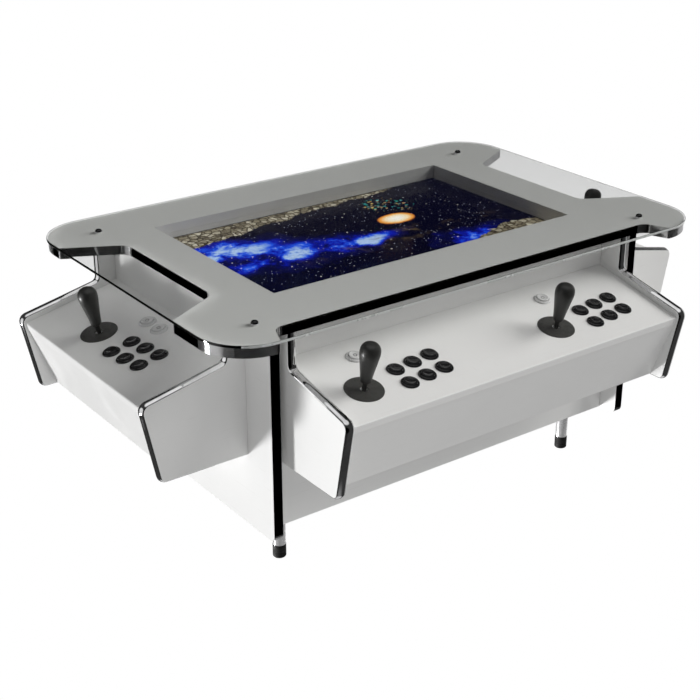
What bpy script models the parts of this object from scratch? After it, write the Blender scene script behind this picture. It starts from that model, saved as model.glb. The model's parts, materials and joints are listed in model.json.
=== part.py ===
"""Four-player cocktail table cabinet: a low games table with a flat screen under a glass sheet
and three control boxes.

Frame: +Z up, the front long side faces -Y, the left end faces -X. The origin is on the floor,
under the middle of the whole cabinet. All lengths are in metres.
"""
import math

import bmesh
import bpy
from mathutils import Matrix, Vector

MM = 0.001
GAP = 0.3 * MM                      # clearance between neighbouring pieces

# Heights
GLASS_TOP = 520 * MM
GLASS_THICK = 5 * MM
TOP_THICK = 18 * MM
BODY_BOTTOM = 101.2 * MM
PANEL_THICK = 18 * MM
SCREEN_DEPTH = 34.6 * MM            # from the glass top down to the display's face

# Table top, seen from above
TOP_HALF_X = 553 * MM
TOP_FRONT_Y = -311.5 * MM
TOP_BACK_Y = 409.9 * MM
TOP_CORNER = 95 * MM
TRIM_PROUD = 3 * MM                 # how far the edge moulding stands out from the board
CUT_CENTRE_Y = 76.2 * MM            # middle of the side cut-ins, the screen and the body
SIDE_CUT_X = 442 * MM
SIDE_CUT_HALF_Y = 151 * MM
SIDE_CUT_FLARE = math.radians(28)
FRONT_CUT_Y = -261.5 * MM
FRONT_CUT_HALF_X = 430 * MM
FRONT_CUT_FLARE = math.radians(22)
CUT_TIP_RADIUS = 8 * MM
SIDE_CUT_RADIUS = 25 * MM
FRONT_CUT_RADIUS = 20 * MM
WINDOW_X = 700 * MM
WINDOW_Y = 420 * MM
WINDOW_LINER = 12 * MM

# Body
END_OUTER_X = 432 * MM
END_THICK = 19 * MM
END_HALF_Y = 319.5 * MM
END_CORNER = 12 * MM                 # radius of the end panels' lower corners
BODY_FRONT_Y = -200 * MM
BODY_HALF_Y = CUT_CENTRE_Y - BODY_FRONT_Y
FOOT_X = 360 * MM
FOOT_HALF_Y = 223.6 * MM
FOOT_RADIUS = 12 * MM
FOOT_FLANGE_RADIUS = 22 * MM
FOOT_FLANGE = 3 * MM
FOOT_CHAMFER = 2 * MM
VENT_SLOT = Vector((110, 6)) * MM    # width and height
VENT_CENTRES = (-220 * MM, 220 * MM)
VENT_ROWS = 7
VENT_FIRST_Z = 330 * MM
VENT_PITCH = 16 * MM
INLET_X = (292.5 * MM, 321.5 * MM)   # power inlet's cut-out
INLET_Z = (150 * MM, 170 * MM)

# Monitor and electronics
MONITOR_X = 724 * MM
MONITOR_Y = 444 * MM
MONITOR_THICK = 12 * MM
HOUSING_DEPTH = 42 * MM
COMPUTER = Vector((0.300, 0.220, 0.090))
COMPUTER_AT = Vector((-0.170, 0.085, 0.0))
SUPPLY = Vector((0.165, 0.100, 0.055))
SUPPLY_AT = Vector((0.190, 0.160, 0.0))

# Control boxes. Local x runs to the player's right, y from the nose towards the body.
NOSE_Z = 382 * MM                   # top front edge of the deck
DECK_SLOPE = math.radians(12.3)
DECK_THICK = 15 * MM
BOX_PLATE = 18 * MM
FRONT_NOSE = 405.9 * MM             # distance of the front deck's nose from the origin
SIDE_NOSE = 625 * MM
FRONT_HALF = 382 * MM               # half the width between the side plates
SIDE_HALF = 223.5 * MM
BOX_BOTTOM = -137.3 * MM            # below the nose
BOX_NECK_Y = 158.4 * MM             # where the plate's edge turns upright
PLATE_RISE = 10.3 * MM              # board edge above the deck
PLATE_AHEAD = 4.4 * MM              # board edge ahead of the nose, level with the deck
PLATE_LEAN = 0.2                    # how far the front edge runs back for each metre down
BOARD_THICK = 15 * MM
BOARD_TOP_Y = 4.2 * MM
BOARD_FOOT_Y = 51.6 * MM
FLOOR_THICK = 12 * MM
JOIN_LAP = 4 * MM                    # how far the boards run into the side plates
NECK_RADIUS = 14 * MM
NOSE_RADIUS = 13 * MM
PLATE_FOOT_RADIUS = 10 * MM
DECK_EDGE = 1.5 * MM                 # chamfer along the deck's nose
CUT_BEYOND = 5 * MM                  # how far a cutter passes the face it opens

# Controls, in the plane of the deck
STICK_Y = 76.5 * MM
STICK_HOLE = 7.3 * MM
STICK_RADIUS = 4 * MM
PIVOT_DEPTH = 16 * MM
PIVOT_BALL = 6 * MM
POCKET_RADIUS = 21 * MM
POCKET_DEPTH = 6 * MM
GIMBAL_OUTER = 15 * MM
GIMBAL_INNER = 7.2 * MM
GIMBAL_HALF = 3 * MM
STICK_TAIL = 24 * MM
PLUNGER_RADIUS = 12 * MM
PLUNGER_HOLE = 12.4 * MM
PLUNGER_TOP = 6 * MM
PLUNGER_BOTTOM = -11 * MM
PLUNGER_DISH = 1.6 * MM
PLUNGER_EDGE = 1.2 * MM
DISH_FLOOR = 0.45                    # radius of the dish's flat floor, in plunger radii
BUTTON_START = Vector((83.5, 22.7)) * MM      # first button from its joystick
BUTTON_ACROSS = Vector((41.5, 5.1)) * MM
BUTTON_ROW = Vector((0.0, -41.7)) * MM
FRONT_STICKS = (-303.5 * MM, 137 * MM)
SIDE_STICK = -68.7 * MM
FRONT_EXTRAS = (Vector((41.5, 84)) * MM,)
SIDE_EXTRAS = (Vector((46, 78)) * MM, Vector((88, 78)) * MM)

ROUND_STEPS = 16

# Joystick profile: radius and height above the pivot
BALL_HEIGHTS = [h * MM for h in (-4.2, -2.2, 0.0, 2.2, 4.2)]
SHAFT_BELOW = -4.6 * MM
SHAFT_ABOVE = 4.6 * MM
SHAFT_TOP = 33 * MM
BAT_PROFILE = [Vector(p) * MM for p in (
    (8.5, 33.5), (10.0, 35.0), (10.4, 40.0), (12.8, 58.0), (15.8, 75.0), (17.7, 87.0),
    (18.0, 93.0), (16.8, 100.0), (13.5, 105.5), (7.0, 108.8), (2.0, 109.4))]


# ---------------------------------------------------------------- helpers

def clear_scene():
    for obj in list(bpy.data.objects):
        bpy.data.objects.remove(obj, do_unlink=True)


def material(name, color, roughness, metallic=0.0):
    mat = bpy.data.materials.new(name)
    mat.use_nodes = True
    shader = mat.node_tree.nodes["Principled BSDF"]
    shader.inputs["Base Color"].default_value = (*color, 1.0)
    shader.inputs["Roughness"].default_value = roughness
    shader.inputs["Metallic"].default_value = metallic
    mat.diffuse_color = (*color, 1.0)
    return mat


def add_object(name, bm, mat, parent=None, location=(0, 0, 0)):
    """Turn a bmesh into a named object, with its faces pointing out."""
    bmesh.ops.recalc_face_normals(bm, faces=bm.faces)
    mesh = bpy.data.meshes.new(name)
    bm.to_mesh(mesh)
    bm.free()
    obj = bpy.data.objects.new(name, mesh)
    bpy.context.collection.objects.link(obj)
    if mat:
        mesh.materials.append(mat)
    obj.parent = parent
    obj.location = location
    return obj


def smooth_round(obj):
    obj.data.shade_smooth()
    obj.data.set_sharp_from_angle(angle=math.radians(35))
    return obj


def rounded_outline(corners):
    """Closed outline through (x, y, radius) corners, with each corner replaced by an arc."""
    points = []
    count = len(corners)
    for index, (x, y, radius) in enumerate(corners):
        here = Vector((x, y))
        back = (Vector(corners[index - 1][:2]) - here).normalized()
        ahead = (Vector(corners[(index + 1) % count][:2]) - here).normalized()
        if radius <= 0:
            points.append(here)
            continue
        half = back.angle(ahead) / 2
        centre = here + (back + ahead).normalized() * radius / math.sin(half)
        first = here + back * radius / math.tan(half) - centre
        last = here + ahead * radius / math.tan(half) - centre
        turn = first.angle_signed(last)
        steps = max(3, math.ceil(abs(turn) * (2.2 + radius * 55)))
        for step in range(steps + 1):
            points.append(centre + Matrix.Rotation(-turn * step / steps, 2) @ first)
    return points


def inset_outline(points, distance):
    """The same outline moved inwards; the points run counterclockwise."""
    moved = []
    for index, here in enumerate(points):
        before = (here - points[index - 1]).normalized()
        after = (points[(index + 1) % len(points)] - here).normalized()
        normal = Vector((-before.y - after.y, before.x + after.x)).normalized()
        lean = normal.dot(Vector((-before.y, before.x)))
        moved.append(here + normal * distance / lean)
    return moved


def prism(outline, low, high, place=lambda a, b, c: (a, b, c), bm=None):
    """Solid between two flat copies of an outline; place maps (a, b, height) to x, y, z."""
    bm = bm or bmesh.new()
    bottom = [bm.verts.new(place(p[0], p[1], low)) for p in outline]
    top = [bm.verts.new(place(p[0], p[1], high)) for p in outline]
    bm.faces.new(list(reversed(bottom)))
    bm.faces.new(top)
    for index in range(len(outline)):
        after = (index + 1) % len(outline)
        bm.faces.new((bottom[index], bottom[after], top[after], top[index]))
    return bm


def across(a, b, c):
    """Place an outline drawn in local y and z, with its height along local x."""
    return (c, a, b)


def block(low, high, bm=None):
    corners = [(low[0], low[1]), (high[0], low[1]), (high[0], high[1]), (low[0], high[1])]
    return prism(corners, low[2], high[2], bm=bm)


def ring(outer, inner, low, high):
    """Closed band between two outlines that have the same number of points."""
    bm = bmesh.new()
    loops = [[bm.verts.new((p[0], p[1], z)) for p in outline]
             for outline, z in ((outer, low), (outer, high), (inner, high), (inner, low))]
    for index in range(len(outer)):
        after = (index + 1) % len(outer)
        for level in range(4):
            one, two = loops[level], loops[(level + 1) % 4]
            bm.faces.new((one[index], one[after], two[after], two[index]))
    return bm


def turned(profile, bm=None, centre=(0, 0), steps=ROUND_STEPS):
    """Solid of revolution about z from (radius, z) points; the two ends are closed flat."""
    bm = bm or bmesh.new()
    rings = []
    for radius, z in profile:
        rings.append([bm.verts.new((centre[0] + radius * math.cos(math.tau * i / steps),
                                    centre[1] + radius * math.sin(math.tau * i / steps), z))
                      for i in range(steps)])
    for lower, upper in zip(rings, rings[1:]):
        for i in range(steps):
            after = (i + 1) % steps
            bm.faces.new((lower[i], lower[after], upper[after], upper[i]))
    bm.faces.new(list(reversed(rings[0])))
    bm.faces.new(rings[-1])
    return bm


def helper_object(name, bm, parent=None, location=(0, 0, 0)):
    """A cutter or joining body that isn't part of the model."""
    obj = add_object(name, bm, None, parent, location)
    obj.hide_render = True
    obj.display_type = "WIRE"
    return obj


def combine(target, other, operation):
    modifier = target.modifiers.new(other.name, "BOOLEAN")
    modifier.operation = operation
    modifier.solver = "EXACT"
    modifier.object = other


# ---------------------------------------------------------------- table top

def top_outline():
    """Outer line of the edge moulding: rounded corners and three flared cut-ins."""
    side_flare = (TOP_HALF_X - SIDE_CUT_X) * math.tan(SIDE_CUT_FLARE)
    front_flare = (FRONT_CUT_Y - TOP_FRONT_Y) * math.tan(FRONT_CUT_FLARE)
    near, far = CUT_CENTRE_Y - SIDE_CUT_HALF_Y, CUT_CENTRE_Y + SIDE_CUT_HALF_Y
    right = [
        (FRONT_CUT_HALF_X, FRONT_CUT_Y, FRONT_CUT_RADIUS),
        (FRONT_CUT_HALF_X + front_flare, TOP_FRONT_Y, CUT_TIP_RADIUS),
        (TOP_HALF_X, TOP_FRONT_Y, TOP_CORNER),
        (TOP_HALF_X, near - side_flare, CUT_TIP_RADIUS),
        (SIDE_CUT_X, near, SIDE_CUT_RADIUS),
        (SIDE_CUT_X, far, SIDE_CUT_RADIUS),
        (TOP_HALF_X, far + side_flare, CUT_TIP_RADIUS),
        (TOP_HALF_X, TOP_BACK_Y, TOP_CORNER),
    ]
    left = [(-x, y, radius) for x, y, radius in reversed(right)]
    return rounded_outline(right + left)


def glass_outline():
    return rounded_outline([(TOP_HALF_X, TOP_FRONT_Y, TOP_CORNER), (TOP_HALF_X, TOP_BACK_Y, TOP_CORNER),
                            (-TOP_HALF_X, TOP_BACK_Y, TOP_CORNER),
                            (-TOP_HALF_X, TOP_FRONT_Y, TOP_CORNER)])


def make_top(mats):
    board_top = GLASS_TOP - GLASS_THICK - GAP
    board_bottom = board_top - TOP_THICK
    screen_face = GLASS_TOP - SCREEN_DEPTH
    outline = top_outline()
    add_object("glass_top", prism(glass_outline(), GLASS_TOP - GLASS_THICK, GLASS_TOP), mats["glass"])
    board = add_object("table_top", prism(inset_outline(outline, TRIM_PROUD), board_bottom, board_top),
                       mats["laminate"])
    half = Vector((WINDOW_X / 2, WINDOW_Y / 2))
    window = helper_object("window_cutter", block(
        (-half.x, CUT_CENTRE_Y - half.y, screen_face - TOP_THICK),
        (half.x, CUT_CENTRE_Y + half.y, board_top + TOP_THICK)))
    combine(board, window, "DIFFERENCE")
    rim = half + Vector((WINDOW_LINER, WINDOW_LINER))
    add_object("window_lining", ring(oblong(rim), oblong(half), screen_face + GAP, board_bottom - GAP),
               mats["laminate"])
    inner = inset_outline(outline, TRIM_PROUD - GAP)
    add_object("table_top_trim", ring(outline, inner, board_bottom, board_top), mats["chrome"])


def oblong(half):
    """Four corners of the window's outline, half.x and half.y out from its middle."""
    return [Vector((x * half.x, CUT_CENTRE_Y + y * half.y)) for x, y in ((-1, -1), (1, -1), (1, 1), (-1, 1))]


def make_monitor(mats):
    """Flat display with the raised electronics housing on its back."""
    face = GLASS_TOP - SCREEN_DEPTH
    low = face - MONITOR_THICK
    screen = add_object("monitor", block((-MONITOR_X / 2, CUT_CENTRE_Y - MONITOR_Y / 2, low),
                                         (MONITOR_X / 2, CUT_CENTRE_Y + MONITOR_Y / 2, face)), mats["screen"])
    inset = HOUSING_DEPTH
    housing = block((-MONITOR_X / 2 + inset, CUT_CENTRE_Y - MONITOR_Y / 2 + inset, low - HOUSING_DEPTH),
                    (MONITOR_X / 2 - inset, CUT_CENTRE_Y + MONITOR_Y / 2 - inset, low + MONITOR_THICK / 2))
    combine(screen, helper_object("monitor_housing", housing), "UNION")


# ---------------------------------------------------------------- body

def end_panel_outline(top):
    """End panel in y and z, with its two lower corners rounded."""
    front, back = CUT_CENTRE_Y - END_HALF_Y, CUT_CENTRE_Y + END_HALF_Y
    return rounded_outline([(front, BODY_BOTTOM, END_CORNER), (back, BODY_BOTTOM, END_CORNER),
                            (back, top, 0), (front, top, 0)])


def make_body(mats):
    top = GLASS_TOP - GLASS_THICK - TOP_THICK - 2 * GAP
    inner = END_OUTER_X - END_THICK
    front, back = BODY_FRONT_Y, CUT_CENTRE_Y + BODY_HALF_Y
    for name, side in (("left_end_panel", -1), ("right_end_panel", 1)):
        xs = sorted((side * inner, side * END_OUTER_X))
        add_object(name, prism(end_panel_outline(top), *xs, across), mats["laminate"])
    reach = inner - GAP
    add_object("front_panel", block((-reach, front, BODY_BOTTOM), (reach, front + PANEL_THICK, top)),
               mats["laminate"])
    rear = add_object("back_panel", block((-reach, back - PANEL_THICK, BODY_BOTTOM), (reach, back, top)),
                      mats["laminate"])
    combine(rear, back_panel_cutter(back), "DIFFERENCE")
    edge = PANEL_THICK + GAP
    add_object("bottom_panel", block((-reach, front + edge, BODY_BOTTOM),
                                     (reach, back - edge, BODY_BOTTOM + PANEL_THICK)), mats["laminate"])
    floor = BODY_BOTTOM + PANEL_THICK + GAP
    for name, size, at in (("game_computer", COMPUTER, COMPUTER_AT), ("power_supply", SUPPLY, SUPPLY_AT)):
        low = Vector((at.x - size.x / 2, at.y - size.y / 2, floor))
        add_object(name, block(low, low + size), mats["black_metal"])


def back_panel_cutter(back):
    """Two groups of vent slots and the cut-out for the power inlet, all right through the panel."""
    bm = bmesh.new()
    near, far = back - 2 * PANEL_THICK, back + PANEL_THICK
    for centre in VENT_CENTRES:
        for row in range(VENT_ROWS):
            z = VENT_FIRST_Z + row * VENT_PITCH
            block((centre - VENT_SLOT.x / 2, near, z),
                  (centre + VENT_SLOT.x / 2, far, z + VENT_SLOT.y), bm=bm)
    block((INLET_X[0], near, INLET_Z[0]), (INLET_X[1], far, INLET_Z[1]), bm=bm)
    return helper_object("back_panel_cutter", bm)


def make_feet(mats):
    top = BODY_BOTTOM - GAP
    profile = [(FOOT_RADIUS - FOOT_CHAMFER, 0.0), (FOOT_RADIUS, FOOT_CHAMFER),
               (FOOT_RADIUS, top - FOOT_FLANGE),
               (FOOT_FLANGE_RADIUS, top - FOOT_FLANGE), (FOOT_FLANGE_RADIUS, top)]
    for end, side in (("left", -1), ("right", 1)):
        for row, way in (("front", -1), ("back", 1)):
            at = (side * FOOT_X, CUT_CENTRE_Y + way * FOOT_HALF_Y, 0)
            smooth_round(add_object(f"foot_{row}_{end}", turned(profile), mats["chrome"], location=at))


# ---------------------------------------------------------------- control boxes

def plate_outline(depth, top):
    """Side plate in local y (from the nose inwards) and z: rounded nose, sloped edge, upright neck."""
    slope = math.tan(DECK_SLOPE)
    level = PLATE_RISE / math.cos(DECK_SLOPE)
    nose_z = (level - PLATE_AHEAD * slope) / (1 + PLATE_LEAN * slope)
    corners = [
        (depth - GAP, BOX_BOTTOM, 0),
        (depth - GAP, top, 0),
        (BOX_NECK_Y, top, 0),
        (BOX_NECK_Y, level + BOX_NECK_Y * slope, NECK_RADIUS),
        (-PLATE_AHEAD - PLATE_LEAN * nose_z, nose_z, NOSE_RADIUS),
        (-PLATE_AHEAD - PLATE_LEAN * BOX_BOTTOM, BOX_BOTTOM, PLATE_FOOT_RADIUS),
    ]
    return rounded_outline(corners)


def make_box(name, frame, half, depth, mats):
    """One closed shell: two side plates, the leaning front board and the floor board."""
    top = GLASS_TOP - GLASS_THICK - TOP_THICK - 2 * GAP - NOSE_Z
    outline = plate_outline(depth, top)
    plate = add_object(name, prism(outline, -half - BOX_PLATE, -half, across), mats["laminate"], frame)
    other = helper_object(name + "_right_plate", prism(outline, half, half + BOX_PLATE, across), frame)
    board_top = -DECK_THICK / math.cos(DECK_SLOPE) - GAP
    lean = (BOARD_FOOT_Y - BOARD_TOP_Y) / (board_top - BOX_BOTTOM)
    thick = BOARD_THICK * math.hypot(1, lean)
    slope = math.tan(DECK_SLOPE)
    board = [(BOARD_TOP_Y, board_top + BOARD_TOP_Y * slope),
             (BOARD_FOOT_Y, BOX_BOTTOM),
             (BOARD_FOOT_Y + thick, BOX_BOTTOM),
             (BOARD_TOP_Y + thick, board_top + (BOARD_TOP_Y + thick) * slope)]
    reach = half + JOIN_LAP
    front = helper_object(name + "_front_board", prism(board, -reach, reach, across), frame)
    floor = [(BOARD_FOOT_Y + JOIN_LAP, BOX_BOTTOM), (depth - GAP, BOX_BOTTOM),
             (depth - GAP, BOX_BOTTOM + FLOOR_THICK), (BOARD_FOOT_Y + JOIN_LAP, BOX_BOTTOM + FLOOR_THICK)]
    base = helper_object(name + "_floor_board", prism(floor, -reach, reach, across), frame)
    for piece in (front, other, base):
        combine(plate, piece, "UNION")
    return plate


def button_places(stick_x, extras):
    """Six action buttons in two rows of three, then the extra buttons, as local x and y."""
    stick = Vector((stick_x, STICK_Y))
    places = [stick + BUTTON_START + BUTTON_ACROSS * column + BUTTON_ROW * row
              for row in range(2) for column in range(3)]
    return places + [stick + extra for extra in extras]


def make_deck(name, frame, half, depth, stations, mats):
    """Sloping deck with a hole for each button, and a stepped hole for each joystick."""
    cos, sin = math.cos(DECK_SLOPE), math.sin(DECK_SLOPE)
    reach = depth - GAP
    section = [(0, -DECK_THICK), ((reach - DECK_THICK * sin) / cos, -DECK_THICK), (reach / cos, 0),
               (DECK_EDGE, 0), (0, -DECK_EDGE)]
    deck = add_object(name, prism(section, -half + GAP, half - GAP, across), mats["laminate"], frame)
    bm = bmesh.new()
    for stick_x, extras in stations:
        at = (stick_x, STICK_Y)
        turned([(POCKET_RADIUS, -DECK_THICK - CUT_BEYOND), (POCKET_RADIUS, -POCKET_DEPTH),
                (STICK_HOLE, -POCKET_DEPTH), (STICK_HOLE, CUT_BEYOND)], bm=bm, centre=at)
        for place in button_places(stick_x, extras):
            turned([(PLUNGER_HOLE, -DECK_THICK - CUT_BEYOND), (PLUNGER_HOLE, CUT_BEYOND)],
                   bm=bm, centre=place)
    combine(deck, helper_object(name + "_cutter", bm, frame), "DIFFERENCE")


def plunger_mesh():
    """Round button plunger with a soft edge and a dished top."""
    return turned([(PLUNGER_RADIUS, PLUNGER_BOTTOM), (PLUNGER_RADIUS, PLUNGER_TOP - PLUNGER_EDGE),
                   (PLUNGER_RADIUS - PLUNGER_EDGE, PLUNGER_TOP),
                   (PLUNGER_RADIUS - 2 * PLUNGER_EDGE, PLUNGER_TOP),
                   (PLUNGER_RADIUS * DISH_FLOOR, PLUNGER_TOP - PLUNGER_DISH)])


def stick_mesh():
    """Joystick turned about its pivot: tail, pivot ball, slim shaft and bat-shaped handle."""
    ball = [(math.sqrt(PIVOT_BALL ** 2 - z ** 2), z) for z in BALL_HEIGHTS]
    return turned([(STICK_RADIUS, -STICK_TAIL), (STICK_RADIUS, SHAFT_BELOW)] + ball
                  + [(STICK_RADIUS, SHAFT_ABOVE), (STICK_RADIUS, SHAFT_TOP)] + BAT_PROFILE)


def gimbal_mesh():
    """Ring round the pivot ball, which carries the joystick's second axis."""
    circle = [Vector((math.cos(math.tau * i / ROUND_STEPS), math.sin(math.tau * i / ROUND_STEPS)))
              for i in range(ROUND_STEPS)]
    return ring([p * GIMBAL_OUTER for p in circle], [p * GIMBAL_INNER for p in circle],
                -GIMBAL_HALF, GIMBAL_HALF)


def make_controls(player, frame, stick_x, extras, extra_names, mats):
    pivot = (stick_x, STICK_Y, -PIVOT_DEPTH)
    smooth_round(add_object(f"{player}_joystick", stick_mesh(), mats["black_plastic"], frame, pivot))
    smooth_round(add_object(f"{player}_joystick_gimbal", gimbal_mesh(), mats["black_plastic"], frame, pivot))
    names = [f"button_{number}" for number in range(1, 7)] + list(extra_names)
    for name, place in zip(names, button_places(stick_x, extras)):
        mat = mats["clear_plastic"] if name in extra_names else mats["black_plastic"]
        smooth_round(add_object(f"{player}_{name}", plunger_mesh(), mat, frame, (*place, 0)))


def empty(name, location, turn, parent=None):
    obj = bpy.data.objects.new(name, None)
    bpy.context.collection.objects.link(obj)
    obj.location = location
    obj.rotation_euler = turn
    obj.parent = parent
    return obj


def make_control_boxes(mats):
    """The front box serves two players, each end box one. Facing is the turn about +Z."""
    front = [("p1", FRONT_STICKS[0]), ("p2", FRONT_STICKS[1])]
    layouts = [
        ("front", (0, -FRONT_NOSE), 0, FRONT_HALF, FRONT_NOSE + BODY_FRONT_Y, front,
         FRONT_EXTRAS, ("start_button",)),
        ("left", (-SIDE_NOSE, CUT_CENTRE_Y), -90, SIDE_HALF, SIDE_NOSE - END_OUTER_X,
         [("p3", SIDE_STICK)], SIDE_EXTRAS, ("start_button", "select_button")),
        ("right", (SIDE_NOSE, CUT_CENTRE_Y), 90, SIDE_HALF, SIDE_NOSE - END_OUTER_X,
         [("p4", SIDE_STICK)], SIDE_EXTRAS, ("start_button", "select_button")),
    ]
    for side, at, facing, half, depth, players, extras, extra_names in layouts:
        upright = empty(side + "_box_frame", (*at, NOSE_Z), (0, 0, math.radians(facing)))
        sloped = empty(side + "_deck_frame", (0, 0, 0), (DECK_SLOPE, 0, 0), upright)
        make_box(side + "_control_box", upright, half, depth, mats)
        make_deck(side + "_deck", sloped, half, depth, [(x, extras) for _, x in players], mats)
        for player, stick_x in players:
            make_controls(player, sloped, stick_x, extras, extra_names, mats)


def main():
    clear_scene()
    mats = {
        "laminate": material("white_laminate", (0.80, 0.80, 0.78), 0.35),
        "chrome": material("chrome_moulding", (0.75, 0.75, 0.76), 0.08, 1.0),
        "glass": material("clear_glass", (0.85, 0.90, 0.88), 0.02),
        "screen": material("display", (0.01, 0.01, 0.02), 0.15),
        "black_metal": material("black_metal", (0.03, 0.03, 0.03), 0.5, 0.6),
        "black_plastic": material("black_plastic", (0.015, 0.015, 0.015), 0.25),
        "clear_plastic": material("clear_plastic", (0.80, 0.80, 0.80), 0.15),
    }
    make_top(mats)
    make_monitor(mats)
    make_body(mats)
    make_feet(mats)
    make_control_boxes(mats)


main()
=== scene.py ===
import json
import math
import bpy
from mathutils import Matrix, Vector


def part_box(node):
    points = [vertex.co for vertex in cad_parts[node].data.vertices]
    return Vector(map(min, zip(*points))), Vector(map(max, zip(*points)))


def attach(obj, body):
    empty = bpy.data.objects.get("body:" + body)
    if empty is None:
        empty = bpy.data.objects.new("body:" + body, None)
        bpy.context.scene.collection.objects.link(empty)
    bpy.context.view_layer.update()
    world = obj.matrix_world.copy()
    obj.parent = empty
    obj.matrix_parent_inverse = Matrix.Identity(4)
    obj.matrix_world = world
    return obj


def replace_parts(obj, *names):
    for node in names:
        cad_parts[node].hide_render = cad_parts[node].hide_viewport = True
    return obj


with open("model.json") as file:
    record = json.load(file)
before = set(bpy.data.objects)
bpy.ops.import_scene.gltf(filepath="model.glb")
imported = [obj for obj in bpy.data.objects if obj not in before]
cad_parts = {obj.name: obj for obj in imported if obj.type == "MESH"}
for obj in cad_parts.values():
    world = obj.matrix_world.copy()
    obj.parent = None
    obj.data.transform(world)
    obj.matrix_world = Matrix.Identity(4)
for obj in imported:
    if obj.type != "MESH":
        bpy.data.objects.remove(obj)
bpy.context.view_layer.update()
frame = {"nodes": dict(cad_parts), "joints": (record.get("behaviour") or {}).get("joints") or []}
cadNodes = frame["nodes"]
mm = 0.001
skinDepth = 0.2 * mm         # how deep the grain of every finish goes at most
joinGap = 0.01 * mm          # corners nearer than this are made one
flatTurn = 0.5               # degrees between faces that count as one flat area
standOff = 0.05 * mm         # air between a fitting and what it sits on
print("frame:", len(cadNodes), "CAD nodes")


# camera, floor and light

viewPoint = {"place": (-1.5596, -2.0006, 1.4176), "turn": (65.616, 0.0, -36.312), "lens": 71.70,
             "farthest": 100.0}
studio = {
    "floorSize": 40.0,
    "floorBelow": -0.001,
    "floorShown": 1.0,           # what the camera sees of the floor
    "floorBounce": 0.44,         # what the cabinet gets back from it
    "skyShown": 1.25,            # what the camera sees past the floor
    "skyFill": 0.38,             # what the cabinet gets from the room
    "mirrorBase": 0.045,         # what polished surfaces see between the cards
    # what polished surfaces see: aim, where it starts, where it is full, tone
    "mirrorCards": (((-0.96, 0.28, 0.0), 0.80, 0.91, 1.0), ((0.93, 0.30, -0.15), 0.80, 0.93, 0.85),
                    ((0.05, -0.10, 1.0), 0.78, 0.93, 1.0), ((0.0, 0.0, -1.0), 0.80, 0.93, 0.75),
                    ((-0.50, -0.86, -0.10), 0.72, 0.90, 0.0), ((0.60, 0.66, 0.44), 0.78, 0.93, 0.0)),
}
# glints says whether glass and polished surfaces show the lamp itself
lamps = {
    "sideLamp": {"travel": (1.0, -0.62, 0.58), "strength": 2.45, "spread": 9.0, "glints": True,
                 "colour": (1.0, 1.0, 1.0)},
    "overheadLamp": {"travel": (-0.80, 0.28, -0.53), "strength": 2.9, "spread": 42.0, "glints": False,
                     "colour": (1.0, 0.99, 0.97)},
}


def setCamera():
    camera = bpy.data.objects.new("camera", bpy.data.cameras.new("camera"))
    bpy.context.collection.objects.link(camera)
    camera.location = viewPoint["place"]
    camera.rotation_euler = [math.radians(angle) for angle in viewPoint["turn"]]
    camera.data.lens = viewPoint["lens"]
    camera.data.clip_end = viewPoint["farthest"]
    bpy.context.scene.camera = camera


def setLamps():
    for name, lamp in lamps.items():
        sun = bpy.data.objects.new(name, bpy.data.lights.new(name, "SUN"))
        sun.visible_glossy = lamp["glints"]
        sun.visible_transmission = lamp["glints"]
        bpy.context.collection.objects.link(sun)
        sun.rotation_euler = Vector(lamp["travel"]).to_track_quat("-Z", "Y").to_euler()
        sun.data.energy = lamp["strength"]
        sun.data.angle = math.radians(lamp["spread"])
        sun.data.color = lamp["colour"]


# small helpers for shader trees

def addNode(tree, kind, feeds=None, **settings):
    made = tree.nodes.new("ShaderNode" + kind)
    for setting, value in settings.items():
        setattr(made, setting, value)
    for socket, value in (feeds or {}).items():
        if isinstance(value, bpy.types.NodeSocket):
            tree.links.new(value, made.inputs[socket])
        else:
            made.inputs[socket].default_value = value
    return made


def maths(tree, operation, first, second=0.0, third=0.0, clamp=False):
    return addNode(tree, "Math", {0: first, 1: second, 2: third}, operation=operation,
                   use_clamp=clamp).outputs[0]


def fade(tree, value, low, high, to=(0.0, 1.0)):
    return addNode(tree, "MapRange", {"Value": value, "From Min": low, "From Max": high,
                                      "To Min": to[0], "To Max": to[1]},
                   interpolation_type="SMOOTHSTEP").outputs["Result"]


def blendColours(tree, amount, first, second, way="MIX"):
    mixer = addNode(tree, "Mix", {"Factor": amount}, data_type="RGBA", blend_type=way)
    for socket, value in ((mixer.inputs[6], first), (mixer.inputs[7], second)):
        if isinstance(value, bpy.types.NodeSocket):
            tree.links.new(value, socket)
        else:
            socket.default_value = (*value[:3], 1.0)
    return mixer.outputs[2]


def colourSteps(tree, value, steps):
    ramp = addNode(tree, "ValToRGB", {"Fac": value})
    while len(ramp.color_ramp.elements) < len(steps):
        ramp.color_ramp.elements.new(0.5)
    for element, (place, colour) in zip(ramp.color_ramp.elements, steps):
        element.position = place
        element.color = (*colour, 1.0)
    return ramp.outputs["Color"]


def setFloor():
    bpy.ops.mesh.primitive_plane_add(size=studio["floorSize"], location=(0, 0, studio["floorBelow"]))
    floor = bpy.context.object
    floor.name = "studio_floor"
    floor.visible_shadow = False
    floor.visible_glossy = False
    paint = bpy.data.materials.new("studio_floor")
    paint.use_nodes = True
    tree = paint.node_tree
    tree.nodes.clear()
    path = addNode(tree, "LightPath")
    level = addNode(tree, "MapRange", {"Value": path.outputs["Is Diffuse Ray"],
                                       "To Min": studio["floorShown"], "To Max": studio["floorBounce"]})
    glow = addNode(tree, "Emission", {"Strength": level.outputs["Result"]})
    addNode(tree, "OutputMaterial", {"Surface": glow.outputs[0]})
    floor.data.materials.append(paint)


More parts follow.
